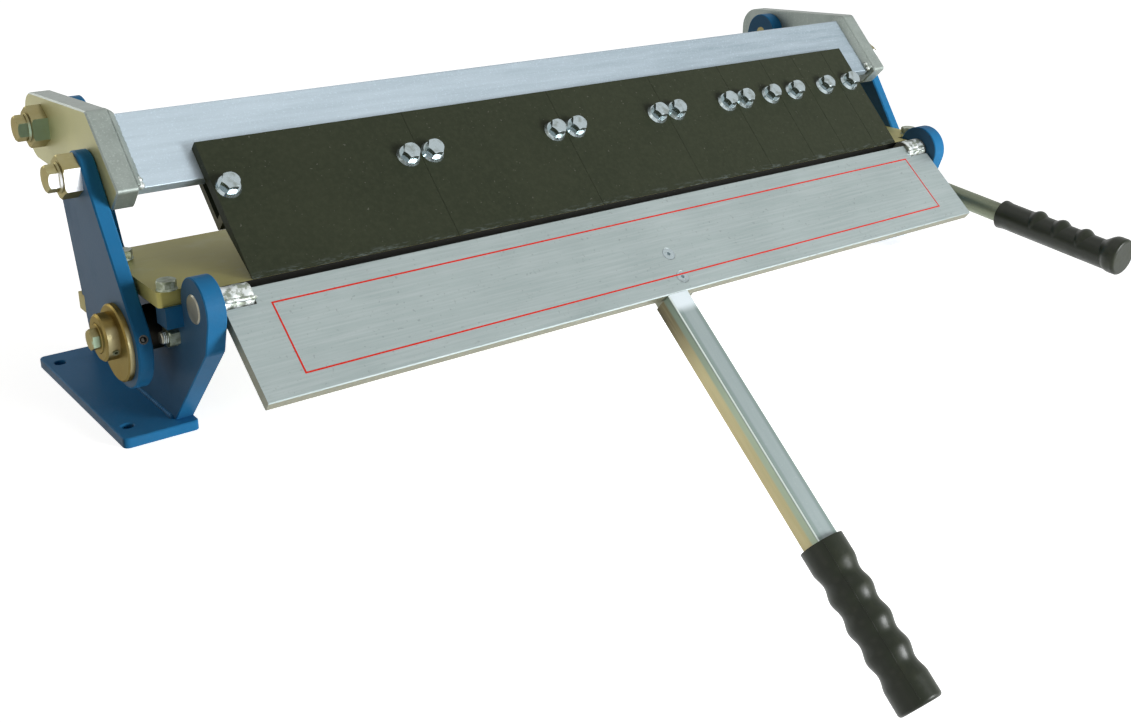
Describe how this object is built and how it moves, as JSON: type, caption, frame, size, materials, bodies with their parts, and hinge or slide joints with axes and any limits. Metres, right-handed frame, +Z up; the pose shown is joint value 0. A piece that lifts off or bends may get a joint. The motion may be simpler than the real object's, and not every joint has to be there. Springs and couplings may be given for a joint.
{
  "type": "box and pan brake",
  "caption": "Bench box and pan brake: segmented clamping fingers on a tilting beam, lever-worked eccentric links, hinged folding leaf with handle.",
  "frame": {"origin": "underside of the feet, in the middle of the four bench bolt holes", "axes": "+X along the bend towards the clamp lever, +Y from the operator to the back, +Z up"},
  "size_m": [1.1748, 0.833, 0.5539],
  "materials": {
    "blue_paint": "smooth gloss blue enamel",
    "plated_plate": "zinc plated steel plate with a faint grain and thin red border lines on the leaf",
    "galvanised": "bright zinc plated bar, streaked along its length",
    "passivated": "yellow passivated zinc",
    "bright_fastener": "bright plated fasteners",
    "black_steel": "blackened hardened steel, satin",
    "black_grip": "moulded black grip, slightly glossy",
    "ground_steel": "ground steel"
  },
  "bodies": {
    "stand_frame": {"bed_plate": "plated_plate", "bed_bolts": "bright_fastener", "front_tie_rod": "ground_steel", "tie_nuts": "bright_fastener", "rear_tie_bar": "passivated", "rear_bar_bolts": "bright_fastener", "rear_pivot_bolts": "bright_fastener", "left_foot_plate": "blue_paint", "left_side_plate": "blue_paint", "left_bed_lugs": "blue_paint", "right_foot_plate": "blue_paint", "right_side_plate": "blue_paint", "right_bed_lugs": "blue_paint"},
    "clamp_lever": {"clamp_shaft": "ground_steel", "shaft_collar": "passivated", "lock_screw": "bright_fastener", "shaft_end_bolts": "bright_fastener", "lever_hub": "blue_paint", "lever_tube": "galvanised", "lever_grip": "black_grip", "left_eccentric": "passivated", "right_eccentric": "passivated"},
    "clamp_beam_assembly": {"clamp_beam": "galvanised", "finger_bolts": "bright_fastener", "link_top_bolts": "bright_fastener", "finger_1": "black_steel", "finger_2": "black_steel", "finger_3": "black_steel", "finger_4": "black_steel", "finger_5": "black_steel", "finger_6": "black_steel", "finger_7": "black_steel", "finger_8": "black_steel", "finger_clamp_1": "black_steel", "finger_clamp_2": "black_steel", "finger_clamp_3": "black_steel", "finger_clamp_4": "black_steel", "finger_clamp_5": "black_steel", "finger_clamp_6": "black_steel", "finger_clamp_7": "black_steel", "finger_clamp_8": "black_steel", "left_end_plate": "galvanised", "left_rear_pivot_bush": "passivated", "right_end_plate": "galvanised", "right_rear_pivot_bush": "passivated"},
    "left_link_arm": {"left_link": "blue_paint", "left_link_top_bush": "passivated", "left_ball_oiler": "bright_fastener"},
    "right_link_arm": {"right_link": "blue_paint", "right_link_top_bush": "passivated", "right_ball_oiler": "bright_fastener"},
    "folding_leaf_assembly": {"folding_leaf": "plated_plate", "handle_root": "plated_plate", "handle_tube": "galvanised", "handle_grip": "black_grip", "handle_screws": "bright_fastener", "left_hinge_pin": "ground_steel", "right_hinge_pin": "ground_steel"}
  },
  "joints": [
    {"name": "clamp_lever_turn", "type": "hinge", "parent": "stand_frame", "child": "clamp_lever", "pos_m": [0, -0.094, 0.103], "axis": [-1, 0, 0], "range_deg": [0, 75]},
    {"name": "beam_tilt", "type": "hinge", "parent": "stand_frame", "child": "clamp_beam_assembly", "pos_m": [0, 0.11, 0.264], "axis": [-1, 0, 0], "range_deg": [0, 2.48]},
    {"name": "left_link_swing", "type": "hinge", "parent": "clamp_beam_assembly", "child": "left_link_arm", "pos_m": [0, -0.026, 0.243], "axis": [1, 0, 0], "range_deg": [0, 0.7]},
    {"name": "right_link_swing", "type": "hinge", "parent": "clamp_beam_assembly", "child": "right_link_arm", "pos_m": [0, -0.026, 0.243], "axis": [1, 0, 0], "range_deg": [0, 0.7]},
    {"name": "leaf_fold", "type": "hinge", "parent": "stand_frame", "child": "folding_leaf_assembly", "pos_m": [0, -0.1912, 0.1476], "axis": [-1, 0, 0], "range_deg": [0, 129.5]}
  ],
  "couplings": [
    {"joint": "beam_tilt", "follows": "clamp_lever_turn", "ratio": 0.033002},
    {"joint": "left_link_swing", "follows": "clamp_lever_turn", "ratio": 0.0091816},
    {"joint": "right_link_swing", "follows": "clamp_lever_turn", "ratio": 0.0091816}
  ]
}
